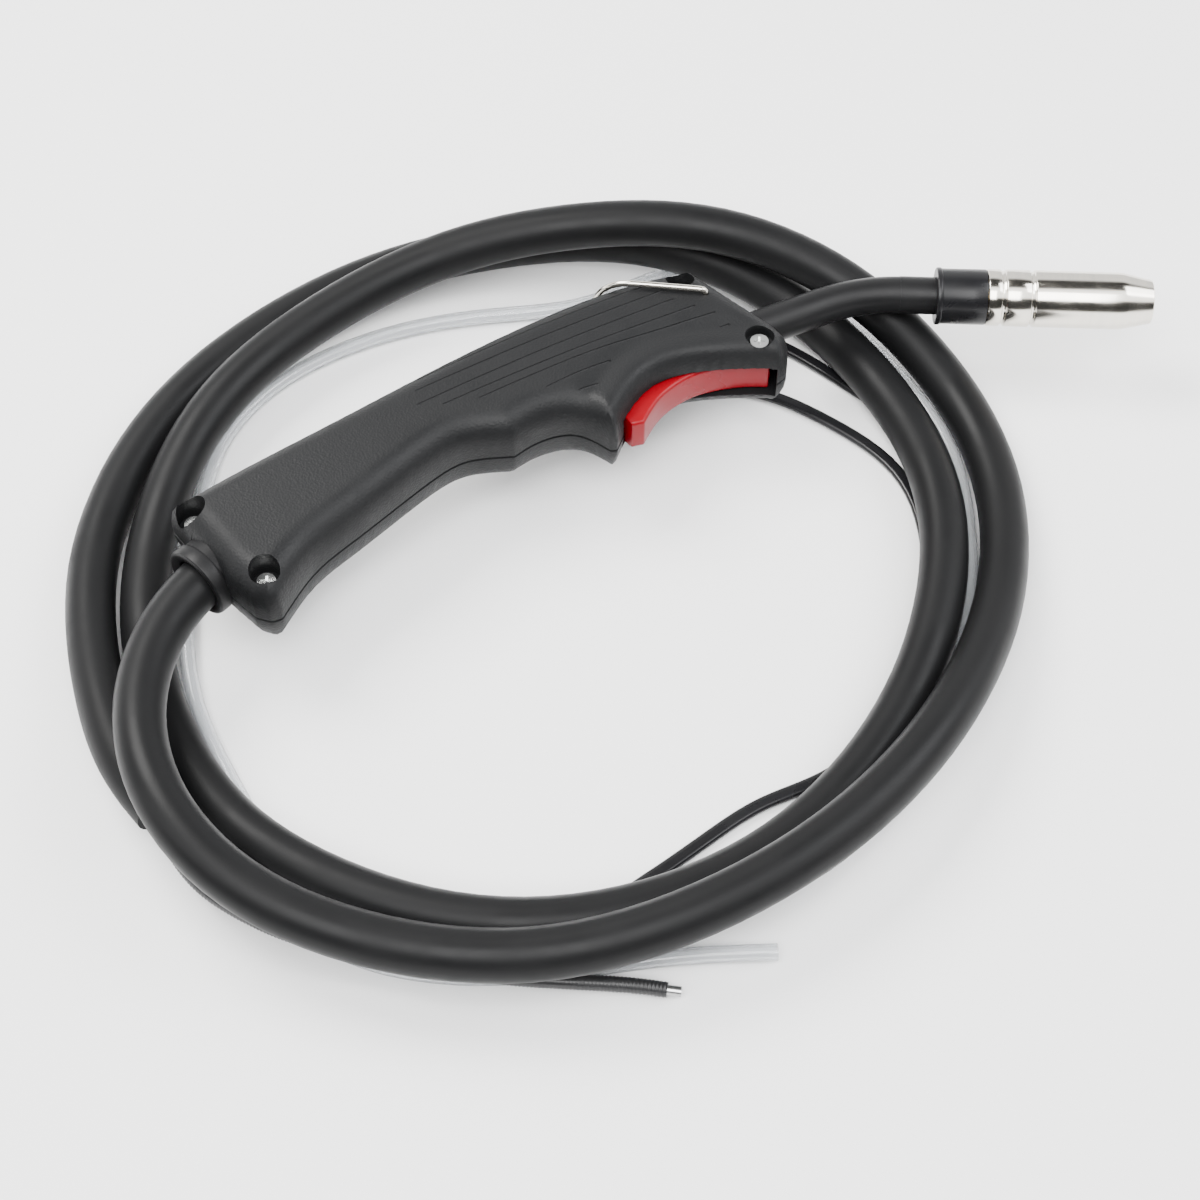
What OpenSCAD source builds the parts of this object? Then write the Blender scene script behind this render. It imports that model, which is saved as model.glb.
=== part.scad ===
// MIG welding torch: split pistol handle, bent neck, push-on nozzle and a looped lead with its tails.
// The origin is on the nozzle's axis, in the middle of its plain barrel. +X points out of the nozzle,
// +Z is up, and the torch lies on its side, so its handle is flat in the XY plane.

/* [Nozzle] */
// Outside diameter of the nozzle's plain barrel
nozzle_d = 18.5; // [16:0.5:20]
// Inside diameter of the nozzle's barrel
nozzle_bore_d = 15.5; // [14:0.5:15.5]
// Outside diameter of the nozzle's mouth
mouth_d = 14.5; // [13.5:0.5:16]
// Diameter of the hole that the welding wire runs through
tip_bore_d = 1.0; // [0.8:0.1:1.2]

/* [Neck] */
// Outside diameter of the black sleeve on the neck
neck_d = 12; // [11:0.5:13]
// Radius of the neck's bend
neck_r = 60; // [56:1:64]
// Angle that the neck turns through
neck_angle = 27; // [25:1:29]

/* [Handle] */
// Thickness of each half shell
shell_h = 15; // [14.5:0.5:15]
// Thickness of the shell's wall
wall = 2.6; // [2.2:0.1:2.8]
// Diameter of the screw recesses
recess_d = 9.4; // [9:0.2:10]
// Diameter of the hanging hook's wire
hook_wire_d = 2; // [1.8:0.1:2.2]

/* [Trigger] */
// Width of the trigger across the handle
trigger_w = 12; // [10:0.5:12]
// Play between the trigger's eye and the boss it turns on
pivot_play = 0.05; // [0.02:0.01:0.08]

/* [Lead] */
// Outside diameter of the lead's rubber jacket
jacket_d = 15.4; // [15:0.1:16]
// Outside diameter of the clear gas hose
hose_d = 5; // [4:0.5:5]
// Height of the nozzle's axis above the surface that the lead lies on
axis_h = 31; // [31:0.5:34]

/* [Hidden] */
$fn = 48;

nozzle_r = nozzle_d / 2;
nozzle_back = -30.7;          // the nozzle's rear end
nozzle_front = 23;            // the nozzle's mouth
neck_start = -58;             // where the neck's bend begins
neck_inner_r = 4;
neck_bore_r = 2.2;
step = 0.1;
pivot = [-105.4, -32.5];      // the trigger turns about the front screw's boss
boss_r = 2.4;
trigger_swing = 4.5;
screw_places = [pivot, [-131, -8.5], [-251, -129], [-276, -106.5]];
seat_heights = [10, 3, 6, 3];   // where each screw's head sits in its recess
hook_pivot = [-122.8, -15.3];
hook_r = hook_wire_d / 2;
hook_z = shell_h + hook_r + 0.5;
rear_mouth = [-272.5, -124];  // where the lead leaves the handle
rear_angle = -130;
jacket_r = jacket_d / 2;
near_inset = [0, 0.4, 1.4, 3.0, 5.2];   // how far each layer of the rounded side draws in
layer_top = [6, 8.5, 11, 13.3, 15];     // and the height where that layer ends, for a 15 mm shell

// ---- curves ----

// A smooth line close to hand-placed points: a cubic B-spline on points pushed a little outwards.
function pushed(p) = [for (i = [0:len(p) - 1]) i == 0 || i == len(p) - 1
    ? p[i] : p[i] + (2 * p[i] - p[i - 1] - p[i + 1]) / 6];
function with_ends(c) = concat([2 * c[0] - c[1]], c, [2 * c[len(c) - 1] - c[len(c) - 2]]);
function spline_at(e, i, t) = (pow(1 - t, 3) * e[i] + (3 * pow(t, 3) - 6 * t * t + 4) * e[i + 1]
    + (-3 * pow(t, 3) + 3 * t * t + 3 * t + 1) * e[i + 2] + pow(t, 3) * e[i + 3]) / 6;
function smooth_line(p, steps) = let (e = with_ends(pushed(p)), n = len(p) - 1)
    concat([for (i = [0:n - 1], j = [0:steps - 1]) spline_at(e, i, j / steps)], [p[n]]);

// A tube swept along a line: each ring stands square to the line, wide and high in its own plane.
function unit(v) = v / norm(v);
function heading(l, i) = unit(l[min(i + 1, len(l) - 1)] - l[max(i - 1, 0)]);
function ring(l, i, wide, high, sides) = let (t = heading(l, i), s = unit(cross(t, [0, 0, 1])),
    u = cross(s, t)) [for (k = [0:sides - 1]) let (a = 360 * (k + 0.5) / sides)
    l[i] + s * wide * cos(a) + u * high * sin(a)];
module swept(line, wide, high, sides) {
    rings = len(line);
    points = [for (i = [0:rings - 1]) each ring(line, i, wide, high, sides)];
    walls = [for (i = [0:rings - 2], k = [0:sides - 1]) let (a = i * sides + k,
        b = i * sides + (k + 1) % sides) each [[a, b, b + sides], [a, b + sides, a + sides]]];
    start_cap = [for (k = [1:sides - 2]) [0, k + 1, k]];
    last = (rings - 1) * sides;
    end_cap = [for (k = [1:sides - 2]) [last, last + k, last + k + 1]];
    polyhedron(points, concat(walls, start_cap, end_cap));
}

// ---- routes: x, y and the height of the middle above the surface underneath ----

jacket_route = [
    [-262, -112, 31], [-278, -134, 31], [-284, -164, 32], [-275, -198, 34], [-249, -225, 29],
    [-208, -239, 24], [-160, -240, 23], [-113, -222, 25], [-75, -192, 24], [-47, -153, 20],
    [-29, -104, 11], [-28, -55, 8], [-45, -14, 10], [-76, 13, 22], [-118, 28, 30],
    [-163, 29, 29], [-208, 21, 23], [-249, -5, 18], [-280, -42, 16], [-293, -86, 11],
    [-291, -132, 8], [-269, -180, 10], [-237, -209, 13], [-190, -226, 14], [-142, -222, 14],
    [-98, -198, 12], [-66, -158, 11], [-49, -112, 11], [-47, -65, 11], [-65, -19, 9],
    [-100, 20, 10], [-145, 37, 14], [-195, 36, 10], [-240, 20, 8], [-280, -15, 8],
    [-304, -56, 8], [-312, -105, 9], [-301, -152, 14], [-289, -180, 18], [-276, -196, 18]];
hose_route = [
    [-273, -200, 16], [-261, -210, 12], [-248, -217, 9], [-235, -220, 8], [-216, -226, 4],
    [-192, -232, 3], [-168, -231, 3], [-146, -227, 3], [-124, -220, 3], [-104, -209, 3],
    [-84, -198, 3], [-64, -175, 3], [-47, -138, 3], [-38, -104, 3], [-37, -74, 3],
    [-40, -45, 3], [-52, -18, 3], [-70, 7, 3], [-90, 27, 3], [-116, 38, 3], [-141, 30, 3],
    [-165, 16, 3], [-196, 11, 3], [-230, 1, 3], [-262, -20, 3], [-280, -50, 3], [-282, -85, 3],
    [-281, -120, 3], [-274, -150, 3], [-260, -176, 3], [-249, -194, 3], [-241, -208, 3],
    [-232, -224, 3], [-215, -234, 3], [-192, -238, 3], [-168, -237, 3], [-146, -233, 3],
    [-122, -229, 3], [-98, -227, 3]];
lead_route = [
    [-272, -196, 21], [-261, -209, 17], [-248, -218, 14], [-235, -225, 13], [-217, -231, 12],
    [-192, -237, 12], [-174, -238, 11], [-163, -235, 8], [-155, -229, 6], [-149, -220, 2],
    [-142, -210, 1.5], [-131, -201, 1.5], [-117, -189, 1.5], [-102, -177, 1.5], [-84, -168, 1.5],
    [-66, -150, 1.5], [-53, -115, 1.5], [-50, -80, 1.5], [-58, -50, 1.5], [-80, -31, 1.5],
    [-103, -18, 1.5], [-124, -16, 1.5], [-137, -4, 1.5], [-126, 9, 1.5], [-103, 6, 1.5],
    [-84, -6, 1.5], [-68, -19, 1.5], [-54, -29, 1.5]];
liner_route = [
    [-276, -200, 15], [-265, -214, 10], [-250, -223, 8], [-234, -230, 8], [-217, -233, 8],
    [-192, -238, 8], [-172, -240, 7], [-152, -239, 4], [-138, -239, 3], [-129, -240, 3]];
lead_wide = 2.2;
lead_high = 1.2;
liner_r = 2.3;
function lifted(route) = [for (p = route) [p[0], p[1], p[2] - axis_h]];

// ---- places along the neck and the lead's clamp ----

// X points back towards the nozzle, and the origin is where the bend ends.
module after_bend() {
    translate([neck_start, -neck_r, 0]) rotate(neck_angle) translate([0, neck_r, 0]) children();
}
// X points out of the handle's rear mouth.
module at_rear() { translate([rear_mouth[0], rear_mouth[1], 0]) rotate(rear_angle) children(); }
module along_x(from, to, r) { translate([from, 0, 0]) rotate([0, 90, 0]) cylinder(h = to - from, r = r); }
// A bent tube: its straight ends are a hair wider than its bend and reach a little way over it.
module bent_rod(r, front, back, lap) {
    along_x(neck_start - lap, front, r + step);
    translate([neck_start, -neck_r, 0]) rotate(90) rotate_extrude(angle = neck_angle)
        translate([neck_r, 0]) circle(r);
    after_bend() along_x(-back, lap, r + step);
}
module bent_tube(outer, inner, front, back) {
    difference() {
        bent_rod(outer, front, back, 1);
        bent_rod(inner, front + 1, back + 1, 0.7);
    }
}

// ---- handle ----

back_edge = smooth_line([[-284, -105], [-262, -87], [-238, -69], [-203, -42], [-172, -21],
                         [-150, -9], [-128, -1]], 3);
trigger_arch = smooth_line([[-102, -39.6], [-112, -40.1], [-121, -41.3], [-129, -43], [-136, -46.2],
                            [-141, -51], [-145, -57.5], [-147.5, -64], [-149, -69]], 2);
front_scallop = smooth_line([[-151, -69.5], [-158, -65], [-165, -63.5], [-174, -67],
                             [-181, -73]], 3);
rear_scallop = smooth_line([[-182, -73], [-192, -74.5], [-200, -78], [-211, -89], [-226, -106],
                            [-237, -118], [-243, -130], [-246, -137]], 2);
module handle_outline() {
    offset(r = 1.5, $fn = 16) offset(delta = -1.5)
        polygon(concat(back_edge, [[-100, -24], [-96, -29], [-96.2, -36.8], [-99, -40.4]],
                       trigger_arch, front_scallop, rear_scallop,
                       [[-249, -138.5], [-254, -137], [-263, -129]]));
}
// One half of the handle's outside, flat on the joint face and rounded towards its side.
module half_form() {
    for (k = [0:len(layer_top) - 1]) {
        low = k == 0 ? 0 : layer_top[k - 1];
        top = layer_top[k] - 15 + shell_h;
        translate([0, 0, low]) linear_extrude(top - low)
            offset(delta = -near_inset[k]) handle_outline();
    }
}
module half_hollow() {
    translate([0, 0, -1]) linear_extrude(9) offset(delta = -wall) handle_outline();
    linear_extrude(shell_h - wall) offset(delta = -wall - 4.5) handle_outline();
}
// The space that the trigger swings through, between the two lips of its opening.
module trigger_slot() {
    translate([0, 0, -1]) linear_extrude(trigger_w / 2 + 1.6)
        polygon([[-99.3, -27.2], [-99.3, -50], [-145, -67], [-148.9, -60.5], [-151.8, -55], [-150, -49.5],
                 [-144, -44], [-136, -39.5], [-128, -35.5], [-118, -30], [-110, -27.2]]);
}
module post(place, r, low, top) { translate([place[0], place[1], low]) cylinder(h = top - low, r = r); }

module shell_half(boss_low) {
    difference() {
        union() {
            difference() {
                half_form();
                half_hollow();
                trigger_slot();
            }
            intersection() {
                half_form();
                for (p = screw_places) post(p, recess_d / 2 + 1.6, p == pivot ? trigger_w / 2 + 0.8 : 0, 15);
            }
            // the seat that holds the neck, and the one that holds the lead's collar
            intersection() {
                half_form();
                union() {
                    after_bend() translate([-31, -9, 0]) cube([12, 18, 15]);
                    at_rear() translate([-9, -14, 0]) cube([6, 28, 15]);
                }
            }
        }
        after_bend() along_x(-46, 3, neck_d / 2 + step + 0.05);
        at_rear() along_x(-12, 3, 11.05);
        at_rear() along_x(-3.1, 8, 11.7);
        at_rear() along_x(-30, -8, jacket_r + 2);
        post(hook_pivot, hook_r + 0.06, -1, 20);
    }
}
module near_shell() {
    color([0.25, 0.26, 0.27]) difference() {
        shell_half();
        for (i = [0:3]) {
            post(screw_places[i], recess_d / 2, seat_heights[i], 20);
            post(screw_places[i], 1.7, -1, seat_heights[i] + 1);
        }
        post(pivot, boss_r + 0.1, -1, 5);
    }
}
module far_shell() {
    color([0.22, 0.23, 0.24]) difference() {
        union() {
            mirror([0, 0, 1]) shell_half();
            post(pivot, boss_r, -10, 4.8);
        }
        for (p = screw_places) post(p, 1.4, -11, 20);
        translate([pivot[0], pivot[1], 4.8]) cylinder(h = 5, r = 6);
    }
}

// Cross-headed screws from the near side, each in its recess.
module shell_screws() {
    color([0.8, 0.8, 0.78]) for (i = [0:3]) {
        p = screw_places[i];
        seat = seat_heights[i];
        difference() {
            union() {
                post(p, 2.9, seat, seat + 2);
                post(p, 1.45, -9, seat + 0.5);
            }
            for (a = [0, 90])
                translate([p[0], p[1], seat + 1.6]) rotate(a) cube([3.6, 0.7, 1.6], center = true);
        }
    }
}

// ---- trigger and switch ----

finger_edge = smooth_line([[-101.8, -36.8], [-108, -37], [-114, -37.9], [-122.4, -40.4], [-128.8, -44.2],
                           [-135, -50.2], [-138.6, -56.6], [-140.8, -62]], 2);
trigger_back = smooth_line([[-147.8, -58.5], [-146.2, -54.5], [-142, -49.5], [-135, -44.5],
                            [-127, -39.3], [-120, -36.3], [-113, -34], [-101.8, -33.4]], 2);
module trigger_outline() { polygon(concat(finger_edge, [[-144.6, -63.2], [-147.4, -60]], trigger_back)); }
module trigger() {
    color([0.78, 0.05, 0.1]) difference() {
        union() {
            for (layer = [[trigger_w, 0.9], [trigger_w - 2, 0.4], [trigger_w - 4, 0]])
                linear_extrude(layer[0], center = true) offset(delta = -layer[1]) trigger_outline();
            post(pivot, 4.2, -4, 4);
            linear_extrude(8, center = true)
                polygon([[-102.2, -32], [-102.2, -35.8], [-114, -36.5], [-111, -31]]);
        }
        post(pivot, boss_r + pivot_play, -10, 10);
    }
}
// A torsion spring round the boss, beside the trigger's eye: two and a half turns and two legs.
module trigger_spring() {
    spring_r = boss_r + 0.75;
    turns = [for (a = [0:30:900]) [spring_r * cos(a), spring_r * sin(a), -6 + a / 900 * 1.6]];
    color([0.75, 0.76, 0.78]) translate([pivot[0], pivot[1], 0])
        swept(concat([[spring_r, -2.2, -6]], turns, [[-spring_r, -2.5, -4.4]]), 0.28, 0.28, 8);
}
// The switch stands behind the neck's block, with its plunger against the trigger's back.
switch_low = -8;              // the switch's face nearest the trigger
plunger_x = -60;
module switch_body() {
    color([0.12, 0.12, 0.13]) after_bend() difference() {
        translate([-71, switch_low, -3.2]) cube([19, 7.8, 6.4]);
        translate([plunger_x, switch_low - 1, 0]) rotate([-90, 0, 0]) cylinder(h = 6.6, r = 1.25);
        for (x = [-67.5, -55]) post([x, switch_low + 3], 1.1, -5, 5);
    }
}
module switch_plunger() {
    color([0.85, 0.82, 0.7]) after_bend() translate([plunger_x, switch_low - 2.7, 0])
        rotate([-90, 0, 0]) cylinder(h = 5.5, r = 1.2);
}
module switch_terminals() {
    color([0.83, 0.68, 0.35]) after_bend() for (y = [-7.2, -4.6, -2])
        translate([-77, y, -1.6]) difference() {
            cube([6, 0.6, 3.2]);
            translate([1.6, -1, 1.6]) rotate([-90, 0, 0]) cylinder(h = 3, r = 0.7);
        }
}
module switch_wires() {
    color([0.15, 0.15, 0.16]) after_bend() for (y = [-6.9, -4.3])
        swept(smooth_line([[-77.1, y, 0], [-84, y, 1.5], [-105, y, 5.5], [-140, y + 0.5, 6.2],
                           [-175, y, 6.2], [-192, y - 4, 6.2]], 2), 0.8, 0.8, 8);
}

// ---- hanging hook ----

// A bent wire bail: an end in each side of the handle, and its loop round the back edge.
module hook_wire(from, to) {
    hull() {
        translate(from) sphere(hook_r, $fn = 16);
        translate(to) sphere(hook_r, $fn = 16);
    }
}
module hanging_hook() {
    leg = [[-122.8, -15.3, 0], [-149.5, -13.4, 0], [-156.2, -11, -5.2], [-158.6, -10, -11.5]];
    color([0.78, 0.76, 0.7]) {
        for (side = [1, -1]) {
            post(hook_pivot, hook_r, side > 0 ? shell_h - 4 : -hook_z, side > 0 ? hook_z : 4 - shell_h);
            for (i = [0:2]) hook_wire([leg[i][0], leg[i][1], side * (hook_z + leg[i][2])],
                                      [leg[i + 1][0], leg[i + 1][1], side * (hook_z + leg[i + 1][2])]);
        }
        translate([-158.6, -10, 11.5 - hook_z]) cylinder(h = 2 * hook_z - 23, r = hook_r);
    }
}

// ---- neck ----

module neck_tube() { color([0.8, 0.62, 0.3]) bent_tube(neck_inner_r, neck_bore_r, -30, 44); }
module neck_sleeve() { color([0.12, 0.12, 0.13]) bent_tube(neck_d / 2, neck_inner_r + 0.02, -47.3, 30); }
// The brass block that joins the neck to the lead's copper, gas and wire liner.
module neck_block() {
    color([0.82, 0.66, 0.34]) after_bend() difference() {
        union() {
            translate([-50, -7, -7]) cube([18, 14, 14]);
            translate([0, -3, -5.4]) along_x(-54, -49.5, 1.3);
        }
        along_x(-44, -20, neck_inner_r + step);
        along_x(-70, -40, neck_bore_r);
        translate([-47, 0, 3]) cylinder(h = 5, r = 2);
        translate([-37, 0, 4.2]) cylinder(h = 5, r = 2);
    }
}
module block_screws() {
    color([0.35, 0.35, 0.36]) after_bend() for (x = [-47, -37]) translate([x, 0, 4.2]) difference() {
        cylinder(h = 3.2, r = 2);
        translate([0, 0, 1.8]) cylinder(h = 2, r = 1, $fn = 6);
    }
}
// The wire's liner, whole from the block to the tip holder.
module neck_liner() { color([0.6, 0.62, 0.64]) bent_tube(1.9, 1, -27, 49.9); }

// ---- front end ----

module insulating_collar() {
    color([0.06, 0.06, 0.07]) difference() {
        union() {
            along_x(-47.3, -30.9, nozzle_r + 0.05);
            along_x(-47.3, -45.4, nozzle_r + 0.2);
        }
        along_x(-50, -20, neck_inner_r + step);
        along_x(-32, -20, 6.8);
    }
}
module tip_holder() {
    color([0.82, 0.66, 0.34]) difference() {
        union() {
            along_x(-31.95, -30.05, 6.7);
            along_x(-30.05, -9, 5.9);
            along_x(-9, -5, 4.6);
        }
        along_x(-40, -29.9, neck_inner_r + step);
        along_x(-30, 0, 3);
        for (a = [0:60:300]) translate([-14, 0, 0]) rotate([a, 0, 0]) cylinder(h = 8, r = 0.8);
    }
}
module contact_tip() {
    color([0.85, 0.5, 0.32]) difference() {
        union() {
            along_x(-13, -5, 3);
            along_x(-5, 14, 4);
            translate([14, 0, 0]) rotate([0, 90, 0]) cylinder(h = 6, r1 = 4, r2 = 2.4);
        }
        along_x(-20, 30, tip_bore_d / 2);
        for (side = [1, -1]) translate([7, side * 5.3, 0]) cube([6, 4, 10], center = true);
    }
}
// The spring clip that grips the nozzle from inside.
module nozzle_spring() {
    color([0.75, 0.76, 0.78]) for (x = [-27.5, -25.7, -23.9, -22.1])
        translate([x, 0, 0]) rotate([0, 90, 0]) rotate_extrude() translate([6.8, 0]) circle(0.88);
}
module nozzle() {
    color([0.8, 0.77, 0.7]) difference() {
        union() {
            along_x(nozzle_back, 14.5, nozzle_r);
            translate([14.5, 0, 0]) rotate([0, 90, 0])
                cylinder(h = nozzle_front - 14.5, r1 = nozzle_r, r2 = mouth_d / 2);
        }
        along_x(nozzle_back - 1, 12, nozzle_bore_d / 2);
        translate([12, 0, 0]) rotate([0, 90, 0])
            cylinder(h = 8, r1 = nozzle_bore_d / 2, r2 = mouth_d / 2 - 1.3);
        along_x(12, nozzle_front + 1, mouth_d / 2 - 1.3);
        for (x = [-25.6, -16.1]) translate([x, 0, 0]) rotate([0, 90, 0])
            rotate_extrude() translate([nozzle_r + 0.1, 0]) circle(0.8);
    }
}

// ---- lead ----

module cable_collar() {
    color([0.14, 0.14, 0.15]) at_rear() difference() {
        union() {
            along_x(-8, 0, 11);
            along_x(-3, 1.8, 11.6);
        }
        along_x(-10, 6, jacket_r + 0.1);
    }
}
module cable_clamp() {
    color([0.7, 0.7, 0.68]) at_rear() difference() {
        along_x(-26, -15.8, 9);
        along_x(-27, -17.5, 4);
        along_x(-18, -15, jacket_r + 0.1);
    }
}
module power_conductor() {
    color([0.85, 0.5, 0.3]) after_bend() swept(smooth_line([[-50, 3.5, 0], [-62, 3.9, 0], [-90, 4, 0],
        [-130, 4, 0], [-165, 3, 0], [-184, -0.5, 0], [-195.6, -9, 0]], 2), 3.3, 3.3, 10);
}
module inner_gas_hose() {
    color([0.85, 0.85, 0.82]) after_bend() swept(smooth_line([[-50, -3, -5.4], [-62, -3, -5.6],
        [-100, -2, -6], [-150, -2, -6.2], [-180, -3, -6.2], [-194, -9.5, -6.2]], 2), 2, 2, 8);
}
module cable_jacket() { color([0.18, 0.18, 0.19]) swept(smooth_line(lifted(jacket_route), 2), jacket_r, jacket_r, 12); }
module gas_hose() { color([0.8, 0.82, 0.84]) swept(smooth_line(lifted(hose_route), 2), hose_d / 2, hose_d / 2, 8); }
module trigger_lead() { color([0.1, 0.1, 0.1]) swept(smooth_line(lifted(lead_route), 2), lead_wide, lead_high, 8); }
module wire_liner() { color([0.16, 0.16, 0.17]) swept(smooth_line(lifted(liner_route), 2), liner_r, liner_r, 8); }
module liner_core() {
    color([0.7, 0.7, 0.72]) translate([-129, -240, 3 - axis_h]) rotate([0, 90, -6]) cylinder(h = 4, r = 1.5);
}

near_shell();
far_shell();
shell_screws();
trigger();
trigger_spring();
switch_body();
switch_plunger();
switch_terminals();
switch_wires();
hanging_hook();
neck_tube();
neck_sleeve();
neck_block();
block_screws();
neck_liner();
insulating_collar();
tip_holder();
contact_tip();
nozzle_spring();
nozzle();
cable_collar();
cable_clamp();
power_conductor();
inner_gas_hose();
cable_jacket();
gas_hose();
trigger_lead();
wire_liner();
liner_core();
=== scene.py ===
import math

import bmesh
import bpy
from mathutils import Matrix, Vector


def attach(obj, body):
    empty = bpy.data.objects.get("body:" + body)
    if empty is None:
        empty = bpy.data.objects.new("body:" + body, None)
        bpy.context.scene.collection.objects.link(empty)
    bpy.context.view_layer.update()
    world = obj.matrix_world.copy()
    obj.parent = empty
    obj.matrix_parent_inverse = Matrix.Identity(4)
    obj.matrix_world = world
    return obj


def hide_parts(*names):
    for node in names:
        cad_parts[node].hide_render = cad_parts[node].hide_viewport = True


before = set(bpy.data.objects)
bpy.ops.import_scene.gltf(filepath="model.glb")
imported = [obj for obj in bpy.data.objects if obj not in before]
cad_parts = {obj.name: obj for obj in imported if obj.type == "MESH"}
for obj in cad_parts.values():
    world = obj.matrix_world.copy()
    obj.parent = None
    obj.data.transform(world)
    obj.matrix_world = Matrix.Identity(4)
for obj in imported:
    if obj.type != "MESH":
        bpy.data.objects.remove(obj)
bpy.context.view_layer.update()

bl_info = {
    "name": "MIG Welding Torch",
    "version": (1, 0, 0),
    "blender": (4, 5, 0),
    "location": "3D View > Sidebar > Torch",
    "description": "Builds a MIG welding torch with its looped lead, piece by piece",
    "category": "Add Mesh",
}

MM = 0.001                # places and sizes below are in millimetres unless a comment says otherwise
AXIS_HEIGHT = 31.0        # the nozzle's axis above the floor
PIVOT = (-105.4, -32.5)   # the trigger's pivot
# Each shell screw's place and the height of its head's seat.
SCREWS = [(PIVOT, 10.0), ((-131, -8.5), 3.0), ((-251, -129), 6.0), ((-276, -106.5), 3.0)]
RECESS_RADIUS = 4.7
HOOK_PIVOT = (-122.8, -15.3)
HOOK_SIDE = 16.5          # the hook's straight sides lie this far from the parting plane
BEND_RADIUS = 60.0
BEND_ANGLE = math.radians(27)
BEND_START = -58.0
REAR_MOUTH = (-272.5, -124, 0)    # where the lead leaves the handle
REAR_ANGLE = math.radians(-130)
NOZZLE_RADIUS = 9.25
TRIGGER_HALF = 6.0        # half the trigger's width

# Routes of the lead and its tails: x, y and the height of the middle above the floor, in millimetres.
JACKET_ROUTE = [
    (-262, -112, 31), (-278, -134, 31), (-284, -164, 32), (-275, -198, 34), (-249, -225, 29),
    (-208, -239, 24), (-160, -240, 23), (-113, -222, 25), (-75, -192, 24), (-47, -153, 20),
    (-29, -104, 11), (-28, -55, 8), (-45, -14, 10), (-76, 13, 22), (-118, 28, 30),
    (-163, 29, 29), (-208, 21, 23), (-249, -5, 18), (-280, -42, 16), (-293, -86, 11),
    (-291, -132, 8), (-269, -180, 10), (-237, -209, 13), (-190, -226, 14), (-142, -222, 14),
    (-98, -198, 12), (-66, -158, 11), (-49, -112, 11), (-47, -65, 11), (-65, -19, 9),
    (-100, 20, 10), (-145, 37, 14), (-195, 36, 10), (-240, 20, 8), (-280, -15, 8),
    (-304, -56, 8), (-312, -105, 9), (-301, -152, 14), (-289, -180, 18), (-276, -196, 18)]
HOSE_ROUTE = [
    (-273, -200, 16), (-261, -210, 12), (-248, -217, 9), (-235, -220, 8), (-216, -226, 4),
    (-192, -232, 3), (-168, -231, 3), (-146, -227, 3), (-124, -220, 3), (-104, -209, 3),
    (-84, -198, 3), (-64, -175, 3), (-47, -138, 3), (-38, -104, 3), (-37, -74, 3),
    (-40, -45, 3), (-52, -18, 3), (-70, 7, 3), (-90, 27, 3), (-116, 38, 3), (-141, 30, 3),
    (-165, 16, 3), (-196, 11, 3), (-230, 1, 3), (-262, -20, 3), (-280, -50, 3), (-282, -85, 3),
    (-281, -120, 3), (-274, -150, 3), (-260, -176, 3), (-249, -194, 3), (-241, -208, 3),
    (-232, -224, 3), (-215, -234, 3), (-192, -238, 3), (-168, -237, 3), (-146, -233, 3),
    (-122, -229, 3), (-98, -227, 3)]
LEAD_ROUTE = [
    (-272, -196, 21), (-261, -209, 17), (-248, -218, 14), (-235, -225, 13), (-217, -231, 12),
    (-192, -237, 12), (-174, -238, 11), (-163, -235, 8), (-155, -229, 6), (-149, -220, 2),
    (-142, -210, 1.5), (-131, -201, 1.5), (-117, -189, 1.5), (-102, -177, 1.5), (-84, -168, 1.5),
    (-66, -150, 1.5), (-53, -115, 1.5), (-50, -80, 1.5), (-58, -50, 1.5), (-80, -31, 1.5),
    (-103, -18, 1.5), (-124, -16, 1.5), (-137, -4, 1.5), (-126, 9, 1.5), (-103, 6, 1.5),
    (-84, -6, 1.5), (-68, -19, 1.5), (-54, -29, 1.5)]
LINER_ROUTE = [
    (-276, -200, 15), (-265, -214, 10), (-250, -223, 8), (-234, -230, 8), (-217, -233, 8),
    (-192, -238, 8), (-172, -240, 7), (-152, -239, 4), (-138, -239, 3), (-129, -240, 3)]


# ---- lines ----

def smooth_line(points, steps):
    """A cubic B-spline through listed points, pushed a little outwards so that it stays on them."""
    p = [Vector(q) for q in points]
    c = [p[0]] + [p[i] + (2 * p[i] - p[i - 1] - p[i + 1]) / 6 for i in range(1, len(p) - 1)] + [p[-1]]
    e = [2 * c[0] - c[1]] + c + [2 * c[-1] - c[-2]]
    line = []
    for i in range(len(p) - 1):
        for j in range(steps):
            t = j / steps
            line.append(((1 - t) ** 3 * e[i] + (3 * t ** 3 - 6 * t * t + 4) * e[i + 1]
                         + (-3 * t ** 3 + 3 * t * t + 3 * t + 1) * e[i + 2] + t ** 3 * e[i + 3]) / 6)
    return line + [p[-1]]


def on_floor(route, steps):
    """A route in metres, as a smooth line in the frame's own heights."""
    return [Vector((p.x, p.y, p.z - AXIS_HEIGHT)) * MM for p in smooth_line(route, steps)]


def filleted(points, radius, steps=4):
    """A closed outline with each sharp corner rounded."""
    out = []
    n = len(points)
    for i, p in enumerate(points):
        p = Vector(p)
        a, b = Vector(points[i - 1]) - p, Vector(points[(i + 1) % n]) - p
        turn = math.pi - a.angle(b)
        if turn < math.radians(20):
            out.append(p)
            continue
        t = min(radius * math.tan(turn / 2), 0.45 * a.length, 0.45 * b.length)
        start, end = p + a.normalized() * t, p + b.normalized() * t
        for k in range(steps + 1):
            u = k / steps
            out.append((1 - u) ** 2 * start + 2 * u * (1 - u) * p + u * u * end)
    return out


def behind_bend(x, y, z=0.0):
    """A point given from the neck's rear end, with x along the neck, in the frame."""
    y += BEND_RADIUS
    c, s = math.cos(BEND_ANGLE), math.sin(BEND_ANGLE)
    return Vector((BEND_START + x * c - y * s, -BEND_RADIUS + x * s + y * c, z))


# ---- mesh tools ----

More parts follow.
